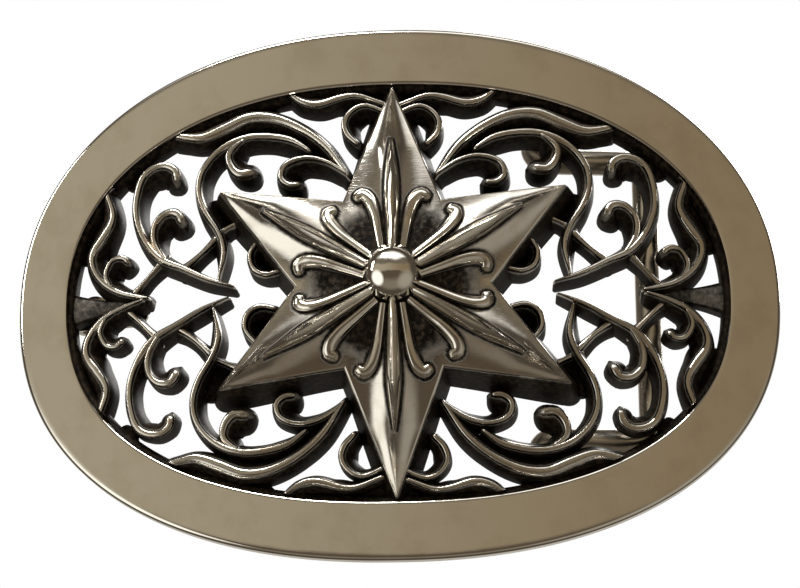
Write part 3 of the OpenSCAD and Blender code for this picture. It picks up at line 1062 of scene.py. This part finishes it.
def build_loop():
    """The bent wire: two spigots, two arms and the fold bar."""
    upper = loop_path()
    lower = [(a, -z, r) for a, z, r in reversed(upper)]
    path = upper + [(LOOP_REACH, 0.0, WIRE_R)] + lower
    builder = Builder()
    rows = []
    for (a, z, radius), direction in zip(path, directions(path)):
        points = []
        for angle in round_angles(28):
            out = radius * math.cos(angle)
            points.append(folded(a - direction[1] * out, radius * math.sin(angle), z + direction[0] * out))
        rows.append(builder.row(points, 1.0))
    builder.loft_and_cap(rows)
    add_piece("belt_loop", builder, "wire_silver", body="loop")


def build_lug(name, side):
    """Lug with a bore for one spigot, on a foot that spreads onto the openwork's back."""
    builder = Builder()
    # Height within the lug, how far each ring stands in from the outside
    outside = [(0.0, 0.3), (0.08, 0.1), (0.3, 0.0), (LUG_H - 0.3, 0.0), (LUG_H - 0.08, 0.1), (LUG_H, 0.3)]
    # Height within the lug, how far each ring stands out from the bore
    inside = [(LUG_H, 0.12), (LUG_H - 0.12, 0.0), (0.12, 0.0), (0.0, 0.12)]
    rows = []
    for level, inset in outside:
        points = []
        for a in round_angles(LUG_STEPS):
            r = LUG_R - inset
            x = HINGE_X + r * math.cos(a)
            y = HINGE_Y + r * math.sin(a)
            if math.sin(a) < 0:
                # The front half runs forward as a cheek and meets the openwork's back
                reach = HINGE_Y - curved_y(x, WORK_BACK) - 0.02
                y = HINGE_Y - reach * min(1.0, -math.sin(a) * 3.0)
                flare = 1 + 0.15 * smoothstep(0.6, 1.0, (HINGE_Y - y) / reach)
                half = r * flare * min(1.0, abs(math.cos(a)) * 1.25)
                x = HINGE_X + math.copysign(half, math.cos(a))
            points.append(straight(x, y, side * (LUG_Z + level)))
        rows.append(builder.row(points, 1.0))
    for level, grow in inside:
        r = SPIGOT_R + SPIGOT_GAP + grow
        points = []
        for a in round_angles(LUG_STEPS):
            x = HINGE_X + r * math.cos(a)
            y = HINGE_Y + r * math.sin(a)
            points.append(straight(x, y, side * (LUG_Z + level)))
        rows.append(builder.row(points, 0.6))
    builder.loft(rows + rows[:1])
    add_piece(name, builder, "back_silver")


FOOT_OUTER = foot_low[0]
FOOT_INNER = foot_high[0]
FOOT_W = foot_high[2] - foot_low[2]
FOOT_T = 1.4
RIM_T = 3.2
# Where the heel on the rim ends and the openwork's back begins
HEEL_INNER = -47.4


def build_foot():
    """Foot strap: a rounded bar along the openwork's back with a heel on the rim's back."""
    builder = Builder()
    rows = []
    count = 40
    for k in range(count + 1):
        x = mixed(FOOT_OUTER, FOOT_INNER, k / count)
        from_end = min(x - FOOT_OUTER, FOOT_INNER - x)
        half = FOOT_W / 2 * math.sqrt(1 - (1 - min(1.0, from_end / 1.6)) ** 2 * 0.75)
        back = WORK_BACK + FOOT_T - 0.35 * (1 - min(1.0, from_end / 0.9)) ** 2
        front = mixed(RIM_T - 0.02, WORK_BACK - 0.02, smoothstep(HEEL_INNER - 0.15, HEEL_INNER + 0.15, x))
        edge = [(1.0, front), (1.0, back - 0.4), (0.95, back - 0.12), (0.82, back), (0.4, back + 0.02)]
        section = [(-across, depth) for across, depth in edge] + [(0.0, back + 0.03)] + edge[::-1]
        rows.append(builder.row([place(x, half * across, depth) for across, depth in section], 1.0))
    builder.loft_and_cap(rows)
    add_piece("hook_foot", builder, "back_silver")


POST_X = -44.5
POST_R = 1.9
POST_L = 7.0
POST_LEAN = math.radians(22)
POST_STRAIGHT = POST_L - POST_R
# Root and shaft of the post: radius, distance along the post
POST_ROOT = [
    (2.95, -0.25), (2.75, -0.02), (2.5, 0.12), (2.34, 0.35), (2.25, 0.7), (2.08, 1.7), (POST_R, 2.8),
    (POST_R, 3.0), (POST_R, POST_STRAIGHT)
]


def build_post():
    """Leaning round post with a domed tip, on a tapered root with a fillet of solder at its foot."""
    builder = Builder()
    profile = list(POST_ROOT)
    for i in range(1, 12):
        a = math.radians(90 * i / 12)
        profile.append((POST_R * math.cos(a), POST_STRAIGHT + POST_R * math.sin(a)))
    along = Vector((-math.sin(POST_LEAN), math.cos(POST_LEAN), 0))
    across = Vector((math.cos(POST_LEAN), math.sin(POST_LEAN), 0))
    foot = Vector((POST_X, curved_y(POST_X, WORK_BACK + FOOT_T), 0))
    rows = []
    for radius, distance in profile:
        points = []
        for a in round_angles(48):
            x, y, _ = foot + along * distance + across * (radius * math.cos(a))
            if distance < 1.0:
                # The fillet follows the strap's back instead of the post's own square foot
                y = mixed(curved_y(x, WORK_BACK + FOOT_T) + distance, y, max(0.0, distance))
            points.append(straight(x, y, radius * math.sin(a)))
        rows.append(builder.row(points, 1.0))
    builder.loft(rows)
    builder.fan(straight(*(foot + along * POST_L)), rows[-1], 1.0, flip=True)
    builder.cap(rows[0], flip=True)
    add_piece("hook_post", builder, "back_silver")


# ---------------- camera, world and lights

# The camera stands a little below and to the right of straight in front. Angles are in radians.
CAMERA_DISTANCE = 375.84
CAMERA_BELOW = 0.2117
CAMERA_ASIDE = 0.0379
CAMERA_ROLL = 0.0128
AIM_RIGHT = 0.818
AIM_UP = -0.7036
LENS = 120.9


def build_camera():
    """The camera, aimed past the buckle's middle and rolled a little."""
    aside = Matrix.Rotation(CAMERA_ASIDE, 3, "Z")
    below = Matrix.Rotation(CAMERA_BELOW, 3, "X")
    roll = Matrix.Rotation(CAMERA_ROLL, 3, "Y")
    right, forward, up = (aside @ below @ roll).transposed()
    where = right * AIM_RIGHT + up * AIM_UP - forward * CAMERA_DISTANCE
    data = bpy.data.cameras.new("camera")
    data.lens = LENS
    data.sensor_width = 36.0
    data.clip_start = 0.01
    camera = bpy.data.objects.new("camera", data)
    turn = Matrix((right, up, -forward)).transposed().to_4x4()
    camera.matrix_world = Matrix.Translation((where + Vector((0, FRONT_Y, 0))) * MM) @ turn
    bpy.context.scene.collection.objects.link(camera)
    bpy.context.scene.camera = camera


# Bands of the studio by height, from the ceiling's dark edge down: where each begins and is full,
# and its colour. The ceiling's own colour is mixed in build_world.
CEILING_EDGE = (0.38, 0.5, (0.17, 0.145, 0.11))
LOWER_BANDS = [(0.02, -0.12, (0.1, 0.078, 0.055)), (-0.42, -0.75, (0.22, 0.19, 0.15))]
# Soft areas of light: direction, how near it they begin and are full, colour
SOFT_AREAS = [
    ((-0.85, -0.38, -0.36), 0.86, 0.96, (1.3, 1.28, 1.2)),
    ((0.8, -0.3, -0.5), 0.75, 0.98, (0.36, 0.33, 0.28)),
    ((0.0, 1.0, 0.1), 0.6, 0.95, (0.5, 0.47, 0.42))
]


def build_world():
    """A soft studio all around for the metal to mirror, behind a plain white backdrop."""
    world = bpy.data.worlds.new("studio")
    bpy.context.scene.world = world
    world.use_nodes = True
    tree = world.node_tree
    tree.nodes.clear()
    towards = add_node(tree, "ShaderNodeTexCoord").outputs["Generated"]
    split = add_node(tree, "ShaderNodeSeparateXYZ")
    tree.links.new(towards, split.inputs[0])
    x, y, z = split.outputs
    wander = maths(tree, "MULTIPLY", noise(tree, towards, 1.7, 2.0), 0.3)
    height = maths(tree, "ADD", maths(tree, "SUBTRACT", z, 0.15), wander)
    rightwards = map_range(tree, x, -0.9, 0.9, 0.0, 1.0)
    colour = mix_colour(tree, rightwards, (0.40, 0.355, 0.27), (0.24, 0.185, 0.115))
    rightwards = map_range(tree, x, -0.8, 0.6, 0.0, 1.0)
    ceiling = mix_colour(tree, rightwards, (1.2, 1.19, 1.15), (1.7, 1.7, 1.67))
    for low, high, band in [CEILING_EDGE, (0.64, 0.8, ceiling), *LOWER_BANDS]:
        colour = mix_colour(tree, map_range(tree, height, low, high, 0.0, 1.0), colour, band)
    colour = mix_colour(tree, map_range(tree, y, -0.35, 0.0, 0.0, 1.0), colour, (0.08, 0.066, 0.05))
    for direction, low, high, light in SOFT_AREAS:
        colour = mix_colour(tree, facing(tree, towards, direction, low, high), colour, light)
    scene_light = add_node(tree, "ShaderNodeBackground")
    tree.links.new(colour, scene_light.inputs["Color"])
    backdrop = add_node(tree, "ShaderNodeBackground")
    set_input(backdrop, "Color", (1.0, 1.0, 1.0, 1.0))
    path = add_node(tree, "ShaderNodeLightPath")
    mix = add_node(tree, "ShaderNodeMixShader")
    tree.links.new(path.outputs["Is Camera Ray"], mix.inputs["Fac"])
    tree.links.new(scene_light.outputs[0], mix.inputs[1])
    tree.links.new(backdrop.outputs[0], mix.inputs[2])
    output = add_node(tree, "ShaderNodeOutputWorld")
    tree.links.new(mix.outputs[0], output.inputs["Surface"])


def add_light(name, position, size, power, colour):
    """A soft rectangular light that faces the buckle; sizes in metres."""
    data = bpy.data.lights.new(name, "AREA")
    data.shape = "RECTANGLE"
    data.size = size[0]
    data.size_y = size[1]
    data.energy = power
    data.color = colour
    light = bpy.data.objects.new(name, data)
    light.location = position
    light.rotation_euler = (-Vector(position)).to_track_quat("-Z", "Y").to_euler()
    bpy.context.scene.collection.objects.link(light)


# Height and radius of the floor, in metres
FLOOR_Z = -0.13
FLOOR_R = 0.6


def build_floor():
    """A round, pale, plain floor, which the metal doesn't mirror."""
    material, tree, shader = new_material("floor")
    coords = add_node(tree, "ShaderNodeTexCoord").outputs["Object"]
    tint = mix_colour(tree, noise(tree, coords, 3.0), (0.80, 0.79, 0.77), (0.84, 0.83, 0.81))
    tree.links.new(tint, shader.inputs["Base Color"])
    set_input(shader, "Roughness", 0.7)
    points = [(FLOOR_R * math.cos(a), FLOOR_R * math.sin(a), FLOOR_Z) for a in round_angles(96)]
    mesh = bpy.data.meshes.new("floor")
    mesh.from_pydata(points, [], [tuple(range(len(points)))])
    mesh.materials.append(material)
    floor = bpy.data.objects.new("floor", mesh)
    floor.visible_glossy = False
    bpy.context.scene.collection.objects.link(floor)


build_camera()
build_world()
build_floor()
add_light("top_window", (-0.25, -0.35, 0.75), (0.5, 0.25), 6.0, (1.0, 0.99, 0.97))
add_light("left_window", (-0.9, -0.1, 0.35), (0.12, 0.4), 2.0, (1.0, 0.99, 0.96))
add_light("back_softbox", (0.3, 0.7, 0.4), (0.5, 0.5), 4.0, (1.0, 0.98, 0.95))
bpy.context.scene.view_settings.view_transform = "Standard"

build_rim()
build_gallery()
for quadrant in QUADRANTS:
    for name, lines in SCROLLS.items():
        build_scroll(name, lines, quadrant)
build_ties()
build_end_fan("end_fan_left", -1)
build_end_fan("end_fan_right", 1)
build_star()
build_ribs()
build_boss()
build_loop()
build_lug("lug_upper", 1)
build_lug("lug_lower", -1)
build_foot()
build_post()
